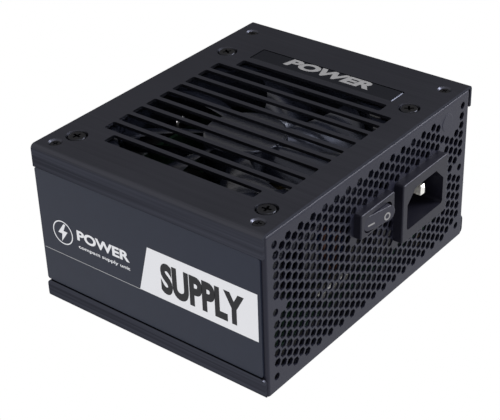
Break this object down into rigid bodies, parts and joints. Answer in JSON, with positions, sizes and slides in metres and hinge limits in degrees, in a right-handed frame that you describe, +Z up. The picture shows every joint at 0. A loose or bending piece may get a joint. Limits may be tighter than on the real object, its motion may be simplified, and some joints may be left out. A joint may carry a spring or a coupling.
{
  "type": "computer power supply unit",
  "caption": "Compact computer power supply in a metal box with a slotted lid over its fan, a honeycomb mains panel with inlet and rocker switch, and modular output sockets.",
  "frame": {"origin": "centre of the flat bottom face", "axes": "+Z up through the fan lid, +Y towards the output sockets, -Y towards the mains inlet, X along the width"},
  "size_m": [0.125, 0.1052, 0.0635],
  "materials": {
    "brushed_black_aluminium": "black anodised, fine brushing along the depth",
    "nameplate_black": "black anodised with a light bevel",
    "black_screws": "black zinc",
    "zinc_steel": "zinc plated",
    "brass_posts": "machined",
    "black_painted_steel": "fine-texture powder coat",
    "label_film": "satin printed film on a thin plate",
    "fan_plastic": "moulded glass-filled plastic",
    "ferrite": "sintered ferrite",
    "bronze": "sintered",
    "copper_wire": "enamelled copper",
    "circuit_board": "solder mask over glass laminate",
    "black_insulation": "wire insulation",
    "green_insulation": "wire insulation",
    "brown_insulation": "wire insulation",
    "moulded_plastic": "finely grained mould finish",
    "nickel_pins": "nickel plated",
    "rocker_plastic": "semi-gloss mould finish",
    "insulating_film": "fish paper",
    "capacitor_sleeve": "shrunk sleeve",
    "film_capacitor": "moulded box",
    "blue_ceramic": "dipped ceramic",
    "fuse_ceramic": "glazed ceramic",
    "relay_case": "moulded case",
    "black_epoxy": "moulded epoxy",
    "raw_aluminium": "extruded, dark anodised",
    "winding_tape": "polyester tape",
    "socket_plastic": "moulded nylon"
  },
  "bodies": {
    "case": {"top_cover": "brushed_black_aluminium", "nameplate": "nameplate_black", "lid_screws": "black_screws", "ac_panel": "black_painted_steel", "right_side_wall": "black_painted_steel", "left_side_wall": "black_painted_steel", "socket_panel": "black_painted_steel", "bottom_tray": "brushed_black_aluminium", "right_label_plate": "label_film", "left_label_plate": "label_film", "tray_screws": "black_screws", "chassis_rivets": "black_screws", "fan_frame": "fan_plastic", "fan_screws": "black_screws", "fan_bearing": "bronze", "stator_core": "zinc_steel", "stator_coils": "copper_wire", "fan_board": "circuit_board", "fan_lead": "black_insulation", "inlet_housing": "moulded_plastic", "inlet_earth_pin": "nickel_pins", "inlet_power_pins": "nickel_pins", "earth_wire": "green_insulation", "power_wires": "brown_insulation", "switch_housing": "moulded_plastic", "switch_terminals": "nickel_pins", "switch_wires": "brown_insulation", "main_board": "circuit_board", "insulating_sheet": "insulating_film", "board_standoffs": "brass_posts", "board_screws": "zinc_steel", "bulk_capacitor": "capacitor_sleeve", "choke_cores": "ferrite", "choke_windings": "copper_wire", "x_capacitors": "film_capacitor", "y_capacitors": "blue_ceramic", "fuse": "fuse_ceramic", "relay": "relay_case", "inrush_thermistor": "black_epoxy", "bridge_rectifier": "black_epoxy", "primary_heatsink": "raw_aluminium", "power_transistors": "black_epoxy", "transformer_core": "ferrite", "transformer_winding": "winding_tape", "secondary_heatsink": "raw_aluminium", "output_capacitors": "raw_aluminium", "control_board": "circuit_board", "control_chips": "black_epoxy", "socket_board": "circuit_board", "wide_socket": "socket_plastic", "eight_pin_sockets": "socket_plastic", "six_pin_sockets": "socket_plastic", "socket_pins": "nickel_pins"},
    "fan_wheel": {"fan_rotor": "fan_plastic", "fan_shaft": "zinc_steel", "fan_magnet": "ferrite"},
    "rocker": {"switch_rocker": "rocker_plastic", "switch_plunger": "bronze", "switch_spring": "zinc_steel"},
    "contact_lever": {"switch_contact": "copper_wire"}
  },
  "joints": [
    {"name": "fan_spin", "type": "hinge", "parent": "case", "child": "fan_wheel", "pos_m": [-0.0074, 0, 0.0535], "axis": [0, 0, 1], "continuous": true},
    {"name": "rocker_tilt", "type": "hinge", "parent": "case", "child": "rocker", "pos_m": [-0.00265, -0.051, 0.041], "axis": [0, 0, 1], "range_deg": [0, 22]},
    {"name": "contact_tilt", "type": "hinge", "parent": "case", "child": "contact_lever", "pos_m": [-0.00265, -0.0428, 0.041], "axis": [0, 0, 1], "range_deg": [-16, 0]}
  ],
  "couplings": [
    {"joint": "contact_tilt", "follows": "rocker_tilt", "ratio": -0.72727}
  ]
}
